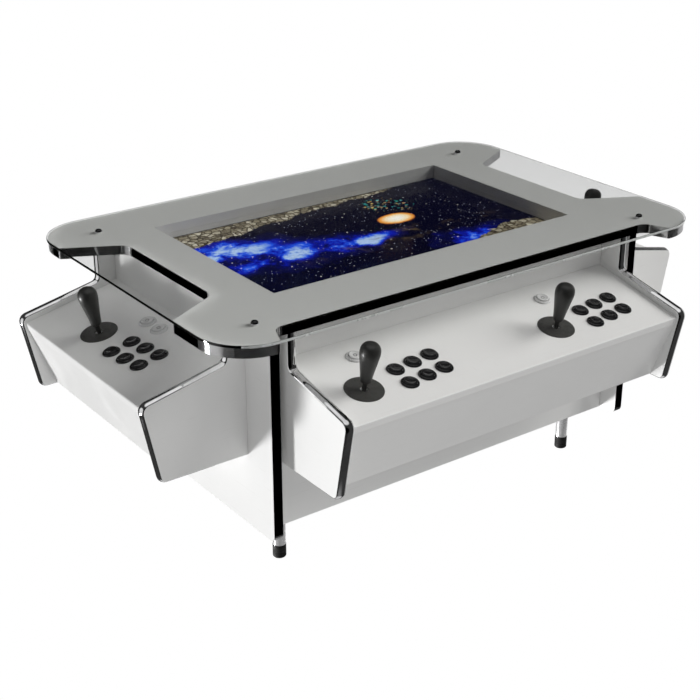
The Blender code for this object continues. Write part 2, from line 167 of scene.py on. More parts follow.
def setSky():
    world = bpy.data.worlds.new("studio")
    bpy.context.scene.world = world
    world.use_nodes = True
    tree = world.node_tree
    tree.nodes.clear()
    way = addNode(tree, "TexCoord").outputs["Generated"]
    level = studio["mirrorBase"]
    for aim, edge, middle, tone in studio["mirrorCards"]:
        facing = addNode(tree, "VectorMath", {0: way, 1: Vector(aim).normalized()},
                         operation="DOT_PRODUCT")
        reach = fade(tree, facing.outputs["Value"], edge, middle)
        level = addNode(tree, "Mix", {"Factor": reach, 2: level, 3: tone}).outputs[0]
    path = addNode(tree, "LightPath")
    # rays that pass the glass count as glossy too, and what they see has to be the plain room
    mirrored = maths(tree, "SUBTRACT", path.outputs["Is Glossy Ray"], path.outputs["Is Transmission Ray"],
                     clamp=True)
    # the last card also darkens what the room gives, so that the display keeps its blacks
    fill = addNode(tree, "Mix", {"Factor": reach, 2: studio["skyFill"], 3: 0.0}).outputs[0]
    seen = addNode(tree, "Mix", {"Factor": mirrored, 2: fill, 3: level})
    shown = addNode(tree, "Mix", {"Factor": path.outputs["Is Camera Ray"], 2: seen.outputs[0],
                                  3: studio["skyShown"]})
    sky = addNode(tree, "Background", {"Strength": shown.outputs[0]})
    addNode(tree, "OutputWorld", {"Surface": sky.outputs[0]})
    bpy.context.scene.view_settings.view_transform = "Standard"


setCamera()
setLamps()
setFloor()
setSky()
print("camera, floor and light")


# effects that several finishes share

def newGroup(name, inputs, outputs):
    tree = bpy.data.node_groups.new(name, "ShaderNodeTree")
    for socket, kind, value in inputs:
        made = tree.interface.new_socket(socket, in_out="INPUT", socket_type="NodeSocket" + kind)
        if value is not None:
            made.default_value = value
    for socket in outputs:
        tree.interface.new_socket(socket, in_out="OUTPUT", socket_type="NodeSocketFloat")
    return tree, tree.nodes.new("NodeGroupInput"), tree.nodes.new("NodeGroupOutput")


wear = {
    "pebbleShare": 0.6, "poreDetail": 3.0, "poreRoughness": 0.6,
    "slowScale": 9.0, "slowDetail": 2.0,                     # the waviness under the pebbles
    "toneScale": 14.0, "toneDetail": 5.0, "toneRoughness": 0.65,
    "wipeDetail": 6.0, "wipeRoughness": 0.7, "wipeStray": 0.8, "wipes": (0.42, 0.68),
    "scratchTilt": (0.2, 0.1), "scratchDetail": 2.0, "scratches": (0.66, 0.74),
    "scratchWays": ((0.5, (14.0, 900.0, 300.0)), (2.1, (700.0, 11.0, 260.0))),
    "speckScale": 480.0, "speckDetail": 4.0, "specks": (0.45, 0.75),
    "driftScale": 6.0, "driftDetail": 3.0, "drifts": (0.35, 0.7),
    "facingUp": (0.3, 0.95),
}


def makeSurfaceGrain():
    # fine texture of a pressed or moulded skin: close pebbles on a slow waviness
    tree, given, wanted = newGroup("surface_grain", [("Vector", "Vector", None), ("Fineness", "Float", 900.0),
                                                     ("Waviness", "Float", 0.3)], ["Height", "Tone"])
    place, fineness = given.outputs["Vector"], given.outputs["Fineness"]
    pebbles = addNode(tree, "TexVoronoi", {"Vector": place, "Scale": fineness}, feature="SMOOTH_F1")
    pores = addNode(tree, "TexNoise", {"Vector": place, "Scale": fineness, "Detail": wear["poreDetail"],
                                       "Roughness": wear["poreRoughness"]})
    slow = addNode(tree, "TexNoise", {"Vector": place, "Scale": wear["slowScale"],
                                      "Detail": wear["slowDetail"]})
    close = maths(tree, "MULTIPLY_ADD", pebbles.outputs["Distance"], wear["pebbleShare"],
                  pores.outputs["Fac"])
    tall = maths(tree, "MULTIPLY_ADD", slow.outputs["Fac"], given.outputs["Waviness"], close)
    tree.links.new(tall, wanted.inputs["Height"])
    tone = addNode(tree, "TexNoise", {"Vector": place, "Scale": wear["toneScale"],
                                      "Detail": wear["toneDetail"], "Roughness": wear["toneRoughness"]})
    tree.links.new(tone.outputs["Fac"], wanted.inputs["Tone"])
    return tree


def makeHandlingMarks():
    # wiped patches, and thin scratches that run two ways
    tree, given, wanted = newGroup("handling_marks", [("Vector", "Vector", None), ("Patches", "Float", 11.0),
                                                      ("Scratches", "Float", 1.0)], ["Wipes", "Lines"])
    place = given.outputs["Vector"]
    patches = addNode(tree, "TexNoise", {"Vector": place, "Scale": given.outputs["Patches"],
                                         "Detail": wear["wipeDetail"], "Roughness": wear["wipeRoughness"],
                                         "Distortion": wear["wipeStray"]})
    tree.links.new(fade(tree, patches.outputs["Fac"], *wear["wipes"]), wanted.inputs["Wipes"])
    total = None
    for turn, stretch in wear["scratchWays"]:
        spread = addNode(tree, "Mapping", {"Vector": place, "Rotation": (*wear["scratchTilt"], turn),
                                           "Scale": stretch})
        thin = addNode(tree, "TexNoise", {"Vector": spread.outputs["Vector"], "Scale": 1.0,
                                          "Detail": wear["scratchDetail"]})
        line = fade(tree, thin.outputs["Fac"], *wear["scratches"])
        total = line if total is None else maths(tree, "MAXIMUM", total, line)
    lines = maths(tree, "MULTIPLY", total, given.outputs["Scratches"], clamp=True)
    tree.links.new(lines, wanted.inputs["Lines"])
    return tree


def makeSettledDust():
    # a thin veil on what faces up
    tree, given, wanted = newGroup("settled_dust", [("Vector", "Vector", None), ("Amount", "Float", 0.2)],
                                   ["Veil"])
    normal = addNode(tree, "NewGeometry").outputs["Normal"]
    up = addNode(tree, "SeparateXYZ", {"Vector": normal}).outputs["Z"]
    place = given.outputs["Vector"]
    specks = addNode(tree, "TexNoise", {"Vector": place, "Scale": wear["speckScale"],
                                        "Detail": wear["speckDetail"]})
    drift = addNode(tree, "TexNoise", {"Vector": place, "Scale": wear["driftScale"],
                                       "Detail": wear["driftDetail"]})
    veil = maths(tree, "MULTIPLY", fade(tree, specks.outputs["Fac"], *wear["specks"]),
                 fade(tree, drift.outputs["Fac"], *wear["drifts"]))
    veil = maths(tree, "MULTIPLY", veil, fade(tree, up, *wear["facingUp"]))
    tree.links.new(maths(tree, "MULTIPLY", veil, given.outputs["Amount"], clamp=True), wanted.inputs["Veil"])
    return tree


surfaceGrain = makeSurfaceGrain()
handlingMarks = makeHandlingMarks()
settledDust = makeSettledDust()


def addGroup(tree, group, **values):
    made = tree.nodes.new("ShaderNodeGroup")
    made.node_tree = group
    for socket, value in values.items():
        if isinstance(value, bpy.types.NodeSocket):
            tree.links.new(value, made.inputs[socket])
        else:
            made.inputs[socket].default_value = value
    return made.outputs


def newFinish(name, **plain):
    finish = bpy.data.materials.new(name)
    finish.use_nodes = True
    tree = finish.node_tree
    shader = tree.nodes["Principled BSDF"]
    for socket, value in plain.items():
        shader.inputs[socket.replace("_", " ")].default_value = value
    place = addNode(tree, "TexCoord").outputs["Object"]
    return finish, tree, shader, place


def feed(tree, shader, **values):
    for socket, value in values.items():
        tree.links.new(value, shader.inputs[socket.replace("_", " ")])


def bumpFrom(tree, height, strength):
    return addNode(tree, "Bump", {"Height": height, "Strength": strength,
                                  "Distance": skinDepth}).outputs["Normal"]


# finishes

laminate = {
    "tone": (0.840, 0.840, 0.833), "shaded": (0.805, 0.805, 0.798), "dust": (0.70, 0.69, 0.66),
    "scuff": (0.60, 0.59, 0.57), "scuffTint": 0.35, "scuffRough": 0.12, "dustRough": 0.4,
    "sheen": (0.36, 0.46), "bend": 1.47, "pebbles": 1300.0, "waviness": 0.5, "pressed": 0.10, "patches": 9.0,
    "bodyDust": 0.10, "bodyScuffs": 0.4, "deckDust": 0.14, "deckScuffs": 0.6,
}


def whiteLaminate(name, dustiness, scuffs):
    finish, tree, shader, place = newFinish(name, IOR=laminate["bend"])
    grain = addGroup(tree, surfaceGrain, Vector=place, Fineness=laminate["pebbles"],
                     Waviness=laminate["waviness"])
    marks = addGroup(tree, handlingMarks, Vector=place, Patches=laminate["patches"], Scratches=scuffs)
    dust = addGroup(tree, settledDust, Vector=place, Amount=dustiness)["Veil"]
    colour = blendColours(tree, grain["Tone"], laminate["shaded"], laminate["tone"])
    scuffed = maths(tree, "MULTIPLY", marks["Lines"], laminate["scuffTint"])
    colour = blendColours(tree, scuffed, colour, laminate["scuff"])
    colour = blendColours(tree, dust, colour, laminate["dust"])
    rough = fade(tree, marks["Wipes"], 0.0, 1.0, laminate["sheen"])
    rough = maths(tree, "ADD", rough, maths(tree, "MULTIPLY", marks["Lines"], laminate["scuffRough"]))
    rough = maths(tree, "ADD", rough, maths(tree, "MULTIPLY", dust, laminate["dustRough"]), clamp=True)
    feed(tree, shader, Base_Color=colour, Roughness=rough,
         Normal=bumpFrom(tree, grain["Height"], laminate["pressed"]))
    return finish


chrome = {
    "bright": (0.90, 0.90, 0.905), "dull": (0.72, 0.72, 0.73), "polish": (0.03, 0.10), "metal": 1.0,
    "tubePolish": (0.20, 0.32), "tubeMetal": 0.45,
    "drawn": 0.03, "fineness": 420.0, "waviness": 1.2, "patches": 26.0, "scratches": 0.8, "dusty": 0.25,
    "lineRough": 0.10, "dustRough": 0.5,
}


def chromeFinish(name, polish, metal):
    finish, tree, shader, place = newFinish(name, Metallic=metal)
    marks = addGroup(tree, handlingMarks, Vector=place, Patches=chrome["patches"],
                     Scratches=chrome["scratches"])
    grain = addGroup(tree, surfaceGrain, Vector=place, Fineness=chrome["fineness"],
                     Waviness=chrome["waviness"])
    dust = addGroup(tree, settledDust, Vector=place, Amount=chrome["dusty"])["Veil"]
    colour = blendColours(tree, marks["Wipes"], chrome["bright"], chrome["dull"])
    rough = maths(tree, "ADD", fade(tree, marks["Wipes"], 0.0, 1.0, polish),
                  maths(tree, "MULTIPLY", marks["Lines"], chrome["lineRough"]))
    rough = maths(tree, "ADD", rough, maths(tree, "MULTIPLY", dust, chrome["dustRough"]), clamp=True)
    feed(tree, shader, Base_Color=colour, Roughness=rough,
         Normal=bumpFrom(tree, grain["Height"], chrome["drawn"]))
    return finish


glass = {
    "tint": (0.99, 0.995, 0.992, 1.0), "bend": 1.50, "clean": 0.0, "touched": 0.03,
    "patches": 5.0, "scratches": 0.5, "wipeShare": 0.4, "marked": (0.2, 1.0),
    "shadowTint": (0.95, 0.96, 0.955, 1.0),
    "edgeTone": (0.90, 0.915, 0.905), "edgeDeep": (0.68, 0.72, 0.70), "edgeClear": 0.3, "edgeBump": 0.15,
    "edgePebbles": 1500.0, "edgeWaviness": 0.2, "edgeSpread": (0.3, 0.7), "edgeShine": (0.22, 0.40),
}


def clearGlass():
    finish, tree, shader, place = newFinish("clear_glass", Base_Color=glass["tint"], IOR=glass["bend"],
                                            Transmission_Weight=1.0)
    marks = addGroup(tree, handlingMarks, Vector=place, Patches=glass["patches"],
                     Scratches=glass["scratches"])
    wiped = maths(tree, "MULTIPLY", marks["Wipes"], glass["wipeShare"])
    touched = maths(tree, "MAXIMUM", wiped, marks["Lines"])
    feed(tree, shader, Roughness=fade(tree, touched, *glass["marked"], (glass["clean"], glass["touched"])))
    # light reaches what lies under the sheet as a plain tinted shadow
    path = addNode(tree, "LightPath")
    through = addNode(tree, "BsdfTransparent", {"Color": glass["shadowTint"]})
    either = tree.nodes.new("ShaderNodeMixShader")
    tree.links.new(path.outputs["Is Shadow Ray"], either.inputs[0])
    tree.links.new(shader.outputs[0], either.inputs[1])
    tree.links.new(through.outputs[0], either.inputs[2])
    tree.links.new(either.outputs[0], tree.nodes["Material Output"].inputs["Surface"])
    return finish


def groundEdge():
    # the pale ground edge at the front and the back of the sheet
    finish, tree, shader, place = newFinish("ground_glass_edge", IOR=glass["bend"],
                                            Transmission_Weight=glass["edgeClear"])
    grain = addGroup(tree, surfaceGrain, Vector=place, Fineness=glass["edgePebbles"],
                     Waviness=glass["edgeWaviness"])
    colour = blendColours(tree, grain["Tone"], glass["edgeDeep"], glass["edgeTone"])
    feed(tree, shader, Base_Color=colour,
         Roughness=fade(tree, grain["Tone"], *glass["edgeSpread"], glass["edgeShine"]),
         Normal=bumpFrom(tree, grain["Height"], glass["edgeBump"]))
    return finish


moulded = {
    "gloss_black": {"tone": (0.006, 0.006, 0.007), "worn": (0.016, 0.016, 0.017), "shine": (0.06, 0.14),
                    "pebbles": 700.0, "depth": 0.02},
    "satin_black": {"tone": (0.020, 0.020, 0.019), "worn": (0.030, 0.030, 0.028), "shine": (0.36, 0.44),
                    "pebbles": 1500.0, "depth": 0.07},
    "washer_black": {"tone": (0.038, 0.038, 0.036), "worn": (0.062, 0.061, 0.057), "shine": (0.50, 0.68),
                     "pebbles": 1100.0, "depth": 0.15},
    "rubber": {"tone": (0.006, 0.006, 0.006), "worn": (0.016, 0.016, 0.015), "shine": (0.62, 0.85),
               "pebbles": 1600.0, "depth": 0.25},
    "black_metal": {"tone": (0.022, 0.022, 0.023), "worn": (0.045, 0.045, 0.046), "shine": (0.42, 0.58),
                    "pebbles": 1000.0, "depth": 0.20},
    "clear_plastic": {"tone": (0.93, 0.93, 0.93), "worn": (0.84, 0.84, 0.84), "shine": (0.10, 0.22),
                      "pebbles": 600.0, "depth": 0.03},
    "ink": {"tone": (0.030, 0.030, 0.034), "worn": (0.070, 0.070, 0.072), "shine": (0.30, 0.45),
            "pebbles": 900.0, "depth": 0.05},
}


mouldedWear = {"waviness": 0.3, "patches": 60.0, "scratches": 0.7, "lineShare": 0.5, "toneShare": 0.45,
               "dusty": 0.10, "dust": (0.35, 0.34, 0.32), "dustRough": 0.5}


def mouldedFinish(name, **plain):
    facts = moulded[name]
    finish, tree, shader, place = newFinish(name, **plain)
    grain = addGroup(tree, surfaceGrain, Vector=place, Fineness=facts["pebbles"],
                     Waviness=mouldedWear["waviness"])
    marks = addGroup(tree, handlingMarks, Vector=place, Patches=mouldedWear["patches"],
                     Scratches=mouldedWear["scratches"])
    dust = addGroup(tree, settledDust, Vector=place, Amount=mouldedWear["dusty"])["Veil"]
    worn = maths(tree, "MULTIPLY_ADD", marks["Lines"], mouldedWear["lineShare"],
                 maths(tree, "MULTIPLY", grain["Tone"], mouldedWear["toneShare"]), clamp=True)
    colour = blendColours(tree, worn, facts["tone"], facts["worn"])
    colour = blendColours(tree, dust, colour, mouldedWear["dust"])
    rough = maths(tree, "ADD", fade(tree, marks["Wipes"], 0.0, 1.0, facts["shine"]),
                  maths(tree, "MULTIPLY", dust, mouldedWear["dustRough"]), clamp=True)
    feed(tree, shader, Base_Color=colour, Roughness=rough,
         Normal=bumpFrom(tree, grain["Height"], facts["depth"]))
    return finish


spacePicture = {
    "middle": (0.0, 0.0762), "half": (0.3475, 0.2075), "borderBlur": 0.0005,
    "border": (0.0015, 0.0015, 0.002),
    "panel": (0.004, 0.004, 0.005, 1), "shine": (0.16, 0.26), "reflects": 0.06, "glow": 1.15,
    "ripple": {"Scale": 16.0, "Detail": 6.0, "Roughness": 0.62},
    # each cloud has a middle and two radii
    "clouds": (((-0.270, 0.165), (0.150, 0.060)), ((-0.250, 0.115), (0.185, 0.080)),
               ((-0.130, 0.055), (0.205, 0.068)), ((0.000, 0.050), (0.110, 0.035)),
               ((0.185, -0.050), (0.120, 0.055))),
    "cloudStray": 0.10, "wispEdge": (0.30, 0.70), "wispGain": (0.25, 1.25),
    "cloudTones": [(0.0, (0.001, 0.001, 0.010)), (0.22, (0.002, 0.003, 0.060)), (0.45, (0.004, 0.012, 0.42)),
                   (0.66, (0.015, 0.09, 0.80)), (0.86, (0.22, 0.38, 0.80)), (1.0, (0.42, 0.58, 0.86))],
    # each kind of star has a closeness, a size and a tone
    "stars": ((150.0, 0.085, (0.62, 0.66, 0.85)), (62.0, 0.055, (0.95, 0.92, 0.85))),
    "starEdge": 2.4, "starChance": (0.55, 0.95),
    "smoke": {"Scale": 26.0, "Detail": 8.0, "Roughness": 0.7}, "smokeEdge": (0.50, 0.66),
    "smokePatch": ((0.03, 0.035), (0.30, 0.05), 0.12), "smokeShare": 0.7, "smokeTone": (0.12, 0.085, 0.04),
    "plateScale": 75.0, "crumbs": {"Scale": 130.0, "Detail": 6.0, "Roughness": 0.75},
    "plateShare": 0.45, "crumbShare": 0.75, "crackEdge": (0.0, 0.16), "crackDark": (0.25, 1.0),
    "rockTones": [(0.0, (0.012, 0.010, 0.008)), (0.30, (0.075, 0.060, 0.040)), (0.55, (0.25, 0.22, 0.15)),
                  (0.80, (0.55, 0.52, 0.41)), (1.0, (0.82, 0.81, 0.74))],
    "bankSlope": -0.125, "bankStray": 0.06, "bankEdge": (0.281, 0.284),
    "outcrop": ((0.285, -0.085), (0.125, 0.055), 0.06), "outcropEdge": (0.12, 0.16),
    "burst": ((0.115, 0.120), (0.046, 0.029), 0.02), "burstEdge": (0.02, 0.14),
    "burstTones": [(0.0, (0.55, 0.10, 0.01)), (0.22, (0.95, 0.42, 0.08)), (0.45, (1.0, 0.82, 0.50)),
                   (0.8, (1.0, 0.97, 0.88))],
    "sparks": ((0.155, 0.195), (0.085, 0.070), 0.12), "sparkEdge": (0.35, 0.55), "sparkScale": 120.0,
    "sparkSize": (0.62, 0.30), "sparkChance": (0.45, 0.6),
    "sparkTones": [(0.0, (0.02, 0.42, 0.36)), (0.35, (0.05, 0.55, 0.60)), (0.55, (0.85, 0.42, 0.08)),
                   (0.8, (0.85, 0.72, 0.25)), (1.0, (0.30, 0.10, 0.04))],
    "patches": 7.0, "scratches": 0.3,
}


def displayPicture():
    # a made-up picture of stars, blue clouds and two banks of rock
    facts = spacePicture
    finish, tree, shader, place = newFinish("display_picture", Base_Color=facts["panel"],
                                            Specular_IOR_Level=facts["reflects"],
                                            Emission_Strength=facts["glow"])
    parts = addNode(tree, "SeparateXYZ", {"Vector": place})
    ripple = addNode(tree, "TexNoise", {"Vector": place, **facts["ripple"]})
    shift = addNode(tree, "VectorMath", {0: ripple.outputs["Color"], 1: (0.5, 0.5, 0.5)},
                    operation="SUBTRACT")

    def patch(centre, radii, stray):
        moved = addNode(tree, "VectorMath", {0: shift.outputs[0], 1: (stray, stray, 0.0), 2: place},
                        operation="MULTIPLY_ADD")
        local = addNode(tree, "Mapping", {"Vector": moved.outputs[0],
                                          "Location": (-centre[0] / radii[0], -centre[1] / radii[1], 0.0),
                                          "Scale": (1 / radii[0], 1 / radii[1], 0.0)})
        rounded = addNode(tree, "TexGradient", {"Vector": local.outputs[0]}, gradient_type="SPHERICAL")
        return rounded.outputs["Fac"]

    cloud = 0.0
    for centre, radii in facts["clouds"]:
        cloud = maths(tree, "ADD", cloud, patch(centre, radii, facts["cloudStray"]))
    wisps = fade(tree, ripple.outputs["Fac"], *facts["wispEdge"], facts["wispGain"])
    picture = colourSteps(tree, maths(tree, "MULTIPLY", cloud, wisps, clamp=True), facts["cloudTones"])

    for scale, size, tone in facts["stars"]:
        cells = addNode(tree, "TexVoronoi", {"Vector": place, "Scale": scale})
        chance = addNode(tree, "SeparateXYZ", {"Vector": cells.outputs["Color"]}).outputs["X"]
        star = maths(tree, "MULTIPLY", fade(tree, cells.outputs["Distance"], size * facts["starEdge"], size),
                     fade(tree, chance, *facts["starChance"]))
        picture = blendColours(tree, star, picture, tone)

    smoke = addNode(tree, "TexNoise", {"Vector": place, **facts["smoke"]})
    haze = maths(tree, "MULTIPLY", fade(tree, smoke.outputs["Fac"], *facts["smokeEdge"]),
                 patch(*facts["smokePatch"]))
    haze = maths(tree, "MULTIPLY", haze, facts["smokeShare"], clamp=True)
    picture = blendColours(tree, haze, picture, facts["smokeTone"])

    plates = addNode(tree, "TexVoronoi", {"Vector": place, "Scale": facts["plateScale"]},
                     distance="CHEBYCHEV")
    crumbs = addNode(tree, "TexNoise", {"Vector": place, **facts["crumbs"]})
    cracks = addNode(tree, "TexVoronoi", {"Vector": place, "Scale": facts["plateScale"]},
                     feature="DISTANCE_TO_EDGE")
    lumps = addNode(tree, "SeparateXYZ", {"Vector": plates.outputs["Color"]}).outputs["Y"]
    stone = maths(tree, "MULTIPLY_ADD", lumps, facts["plateShare"],
                  maths(tree, "MULTIPLY", crumbs.outputs["Fac"], facts["crumbShare"]))
    stone = maths(tree, "MULTIPLY", stone,
                  fade(tree, cracks.outputs["Distance"], *facts["crackEdge"], facts["crackDark"]), clamp=True)
    rock = colourSteps(tree, stone, facts["rockTones"])
    ridge = maths(tree, "MULTIPLY_ADD", parts.outputs["X"], facts["bankSlope"], parts.outputs["Y"])
    ridge = maths(tree, "MULTIPLY_ADD", ripple.outputs["Fac"], facts["bankStray"], ridge)
    bank = fade(tree, ridge, *facts["bankEdge"])
    outcrop = fade(tree, patch(*facts["outcrop"]), *facts["outcropEdge"])
    picture = blendColours(tree, maths(tree, "MAXIMUM", bank, outcrop), picture, rock)

    flash = patch(*facts["burst"])
    burst = colourSteps(tree, flash, facts["burstTones"])
    picture = blendColours(tree, fade(tree, flash, *facts["burstEdge"]), picture, burst)

    chips = addNode(tree, "TexVoronoi", {"Vector": place, "Scale": facts["sparkScale"]})
    spark = maths(tree, "MULTIPLY", fade(tree, patch(*facts["sparks"]), *facts["sparkEdge"]),
                  fade(tree, chips.outputs["Distance"], *facts["sparkSize"]))
    chance = addNode(tree, "SeparateXYZ", {"Vector": chips.outputs["Color"]})
    spark = maths(tree, "MULTIPLY", spark, fade(tree, chance.outputs["Z"], *facts["sparkChance"]))
    sparkTone = colourSteps(tree, chance.outputs["X"], facts["sparkTones"])
    picture = blendColours(tree, spark, picture, sparkTone)

    # the panel's own black border round the picture
    inside = 1.0
    for axis, middle, half in zip("XY", facts["middle"], facts["half"]):
        off = maths(tree, "ABSOLUTE", maths(tree, "SUBTRACT", parts.outputs[axis], middle))
        inside = maths(tree, "MULTIPLY", inside,
                       fade(tree, off, half + facts["borderBlur"], half - facts["borderBlur"]))
    picture = blendColours(tree, inside, facts["border"], picture)
    marks = addGroup(tree, handlingMarks, Vector=place, Patches=facts["patches"],
                     Scratches=facts["scratches"])
    feed(tree, shader, Emission_Color=picture, Roughness=fade(tree, marks["Wipes"], 0.0, 1.0, facts["shine"]))
    return finish


bodyLaminate = whiteLaminate("white_laminate", laminate["bodyDust"], laminate["bodyScuffs"])
deckLaminate = whiteLaminate("deck_laminate", laminate["deckDust"], laminate["deckScuffs"])
trimChrome = chromeFinish("chrome_moulding", chrome["polish"], chrome["metal"])
tubeChrome = chromeFinish("chrome_tube", chrome["tubePolish"], chrome["tubeMetal"])
sheetGlass = clearGlass()
sheetEdge = groundEdge()
litPicture = displayPicture()
glossBlack = mouldedFinish("gloss_black")
satinBlack = mouldedFinish("satin_black")
washerBlack = mouldedFinish("washer_black")
tipRubber = mouldedFinish("rubber")
blackMetal = mouldedFinish("black_metal", Metallic=0.35)
clearPlastic = mouldedFinish("clear_plastic", Transmission_Weight=0.25)
darkInk = mouldedFinish("ink")
print("finishes")


# helpers for making pieces

def pick(piece):
    if bpy.context.mode != "OBJECT":
        bpy.ops.object.mode_set(mode="OBJECT")
    bpy.ops.object.select_all(action="DESELECT")
    piece.select_set(True)
    bpy.context.view_layer.objects.active = piece


def choose(piece, kind, test):
    # goes into edit mode with only what passes the test selected
    pick(piece)
    bpy.ops.object.mode_set(mode="EDIT")
    bpy.ops.mesh.select_mode(type=kind)
    bpy.ops.mesh.select_all(action="DESELECT")
    bpy.ops.object.mode_set(mode="OBJECT")
    kinds = {"VERT": piece.data.vertices, "EDGE": piece.data.edges, "FACE": piece.data.polygons}
    for part in kinds[kind]:
        part.select = test(part)
    bpy.ops.object.mode_set(mode="EDIT")


def tidyMesh(piece, smoothAngle):
    pick(piece)
    bpy.ops.object.mode_set(mode="EDIT")
    bpy.ops.mesh.select_mode(type="VERT")
    bpy.ops.mesh.select_all(action="SELECT")
    bpy.ops.mesh.remove_doubles(threshold=joinGap)
    bpy.ops.mesh.normals_make_consistent(inside=False)
    bpy.ops.object.mode_set(mode="OBJECT")
    bpy.ops.object.shade_smooth_by_angle(angle=math.radians(smoothAngle))


def copyOfNode(node, name):
    # a node's triangles are loose, so they are joined up and flat areas made whole
    source = cadNodes[node]
    piece = bpy.data.objects.new(name, source.data.copy())
    piece.data.name = name
    bpy.context.collection.objects.link(piece)
    piece.data.materials.clear()
    pick(piece)
    bpy.ops.object.mode_set(mode="EDIT")
    bpy.ops.mesh.select_all(action="SELECT")
    bpy.ops.mesh.customdata_custom_splitnormals_clear()
    bpy.ops.mesh.remove_doubles(threshold=joinGap)
    bpy.ops.mesh.dissolve_limited(angle_limit=math.radians(flatTurn))
    bpy.ops.object.mode_set(mode="OBJECT")
    return piece


def softenEdges(piece, width, sharpest):
    bevel = piece.modifiers.new("softened", "BEVEL")
    bevel.width = width
    bevel.segments = 2
    bevel.limit_method = "ANGLE"
    bevel.angle_limit = math.radians(sharpest)
    bpy.ops.object.modifier_apply(modifier="softened")


def finishPiece(piece, finish, body):
    piece.data.materials.clear()
    piece.data.materials.append(finish)
    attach(piece, body)
    return piece


roundPiece = {"sides": 48, "smoothAngle": 38, "sameRing": 0.004 * mm}


def turnPiece(name, rings, sides=roundPiece["sides"], hollow=False, smoothAngle=roundPiece["smoothAngle"]):
    # a round piece raised ring by ring from a circle; each ring is a radius and a height in millimetres
    bpy.ops.object.select_all(action="DESELECT")
    radius, height = rings[0]
    bpy.ops.mesh.primitive_circle_add(vertices=sides, radius=radius * mm, location=(0, 0, height * mm))
    piece = bpy.context.object
    piece.name = piece.data.name = name
    bpy.ops.object.transform_apply(location=True, rotation=False, scale=False)
    bpy.ops.object.mode_set(mode="EDIT")
    bpy.ops.mesh.select_mode(type="EDGE")
    bpy.ops.mesh.select_all(action="SELECT")
    for newRadius, newHeight in rings[1:]:
        lift = (0, 0, (newHeight - height) * mm)
        bpy.ops.mesh.extrude_region_move(TRANSFORM_OT_translate={"value": lift})
        bpy.ops.transform.resize(value=(newRadius / radius, newRadius / radius, 1.0),
                                 center_override=(0, 0, newHeight * mm))
        radius, height = newRadius, newHeight

    def onRing(edge, ring):
        ends = [piece.data.vertices[i].co for i in edge.vertices]
        off = [max(abs(end.z - ring[1] * mm), abs(end.xy.length - ring[0] * mm)) for end in ends]
        return max(off) < roundPiece["sameRing"]

    if hollow:
        choose(piece, "EDGE", lambda edge: onRing(edge, rings[0]) or onRing(edge, rings[-1]))
        bpy.ops.mesh.bridge_edge_loops()
    else:
        for ring in (rings[0], rings[-1]):
            choose(piece, "EDGE", lambda edge: onRing(edge, ring))
            bpy.ops.mesh.edge_face_add()
    tidyMesh(piece, smoothAngle)
    return piece


def setCopy(master, name, matrix):
    piece = master.copy()
    piece.data = master.data.copy()
    piece.name = piece.data.name = name
    bpy.context.collection.objects.link(piece)
    piece.matrix_world = matrix
    pick(piece)
    bpy.ops.object.transform_apply(location=True, rotation=True, scale=True)
    return piece


# edge mouldings: the line of an edge is drawn across the board's thickness, then raised into a crown
# across holds distances from the edge, and rise what each step adds to the crown, the last one at the middle

moulding = {"across": (0.0, 0.4, 1.6, 4.0, 6.6), "rise": (0.0, 0.9, 1.0, 1.1, 0.7, 0.3), "smoothAngle": 50,
            "onLine": 0.02 * mm, "onRim": 0.05 * mm, "windowMargin": 20 * mm, "belowTop": 1 * mm,
            "offDeck": 0.3 * mm}


def edgeMoulding(name, node, axis, start, width, exposed):
    piece = copyOfNode(node, name)

    def onOutline(edge):
        ends = [piece.data.vertices[i].co for i in edge.vertices]
        return all(abs(end[axis] - start) < moulding["onLine"] for end in ends) and exposed(*ends)

    choose(piece, "EDGE", onOutline)
    bpy.ops.mesh.select_all(action="INVERT")
    bpy.ops.mesh.delete(type="EDGE")
    span = abs(width)
    columns = [step * mm for step in moulding["across"]]
    columns += [span / 2] + [span - step for step in reversed(columns)]
    bpy.ops.mesh.select_all(action="SELECT")
    for before, after in zip(columns, columns[1:]):
        move = [0.0, 0.0, 0.0]
        move[axis] = math.copysign(after - before, width)
        bpy.ops.mesh.extrude_region_move(TRANSFORM_OT_translate={"value": move})
    bpy.ops.mesh.select_all(action="SELECT")
    bpy.ops.mesh.normals_make_consistent(inside=False)
    bpy.ops.object.mode_set(mode="OBJECT")
    # the face that lies farthest out shows which way the strip faces
    middle = sum((vert.co for vert in piece.data.vertices), Vector()) / len(piece.data.vertices)
    farthest = max(piece.data.polygons, key=lambda face: (face.center - middle).length)
    if farthest.normal.dot(farthest.center - middle) < 0:
        bpy.ops.object.mode_set(mode="EDIT")
        bpy.ops.mesh.flip_normals()
    for step, rise in zip(columns[1:], moulding["rise"][1:]):
        low, high = step - moulding["onLine"], span - step + moulding["onLine"]
        choose(piece, "VERT", lambda vert: low <= abs(vert.co[axis] - start) <= high)
        bpy.ops.transform.shrink_fatten(value=-rise * mm, use_even_offset=True)

    def onRim(edge):
        steps = [abs(piece.data.vertices[i].co[axis] - start) for i in edge.vertices]
        return max(steps) < moulding["onRim"] or min(steps) > span - moulding["onRim"]

    choose(piece, "EDGE", onRim)
    bpy.ops.mesh.bridge_edge_loops()
    bpy.ops.mesh.select_all(action="SELECT")
    bpy.ops.mesh.fill_holes(sides=0)
    tidyMesh(piece, moulding["smoothAngle"])
    return finishPiece(piece, trimChrome, "cabinet")


